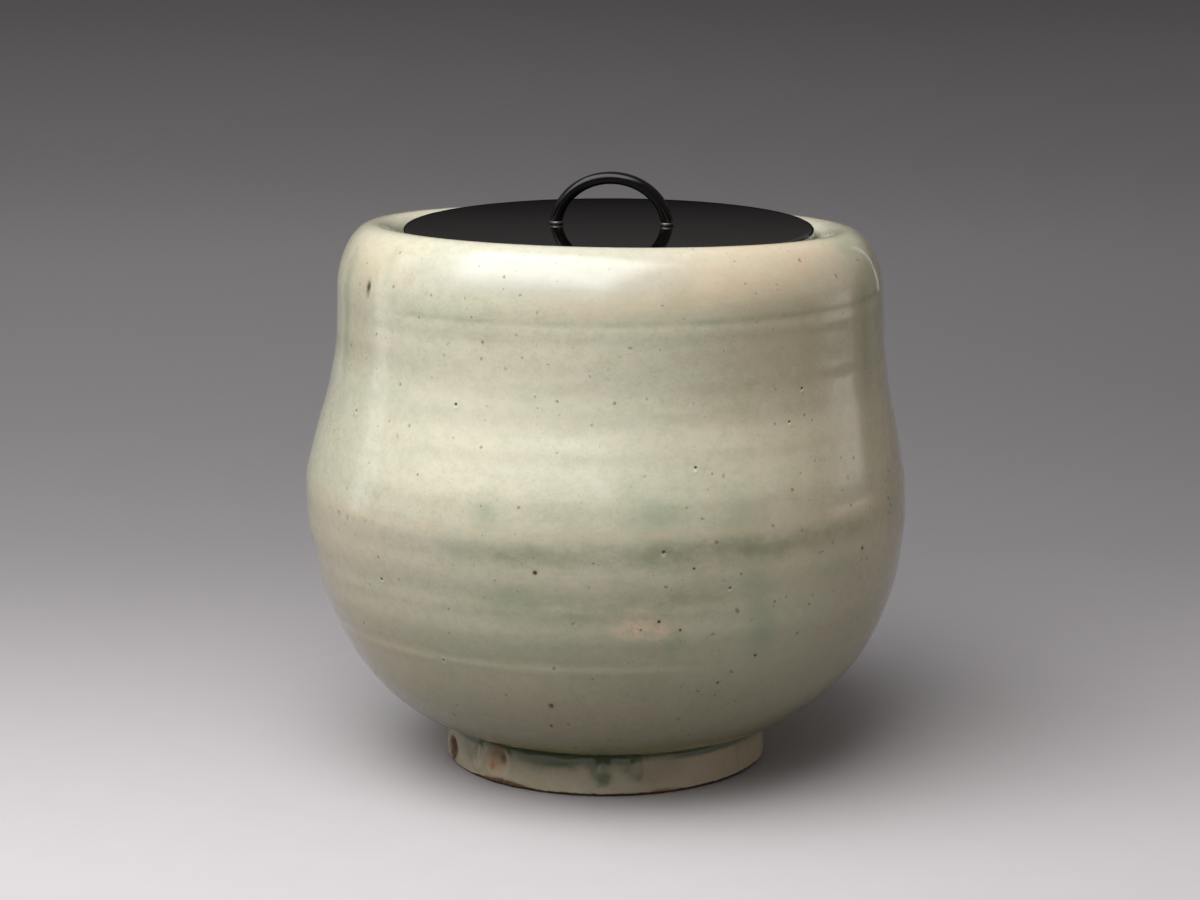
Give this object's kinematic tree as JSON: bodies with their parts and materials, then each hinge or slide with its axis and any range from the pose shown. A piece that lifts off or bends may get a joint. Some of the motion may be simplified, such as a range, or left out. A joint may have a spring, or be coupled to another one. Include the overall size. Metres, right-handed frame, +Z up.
{
  "type": "water jar",
  "caption": "Round stoneware tea-room water jar with a swelling belly, a rolled rim, a turned foot ring and a flat black lacquered lid that lifts off by its arched handle.",
  "frame": {"origin": "centre of the foot ring, on the surface that the jar stands on", "axes": "+Z up along the turning axis of the jar; +X to the right and -Y to the front, as pictured"},
  "size_m": [0.189, 0.189, 0.1866],
  "materials": {
    "celadon_glaze": "glossy pale celadon glaze over stoneware, green where it pools",
    "foot_glaze": "thin celadon glaze with bare brown clay at the foot edge",
    "lid_lacquer": "polished black lacquer over wood",
    "handle_lacquer": "glossy black lacquer over bent wood",
    "ring_metal": "polished grey metal"
  },
  "bodies": {
    "jar": {"jar_body": "celadon_glaze", "foot_ring": "foot_glaze"},
    "lid": {"lid_board": "lid_lacquer", "lid_handle": "handle_lacquer", "handle_ring_left": "ring_metal", "handle_ring_right": "ring_metal"}
  },
  "joints": [
    {"name": "lid_lift", "type": "slide", "parent": "jar", "child": "lid", "axis": [0, 0, 1], "range_m": [0, 0.12]}
  ]
}
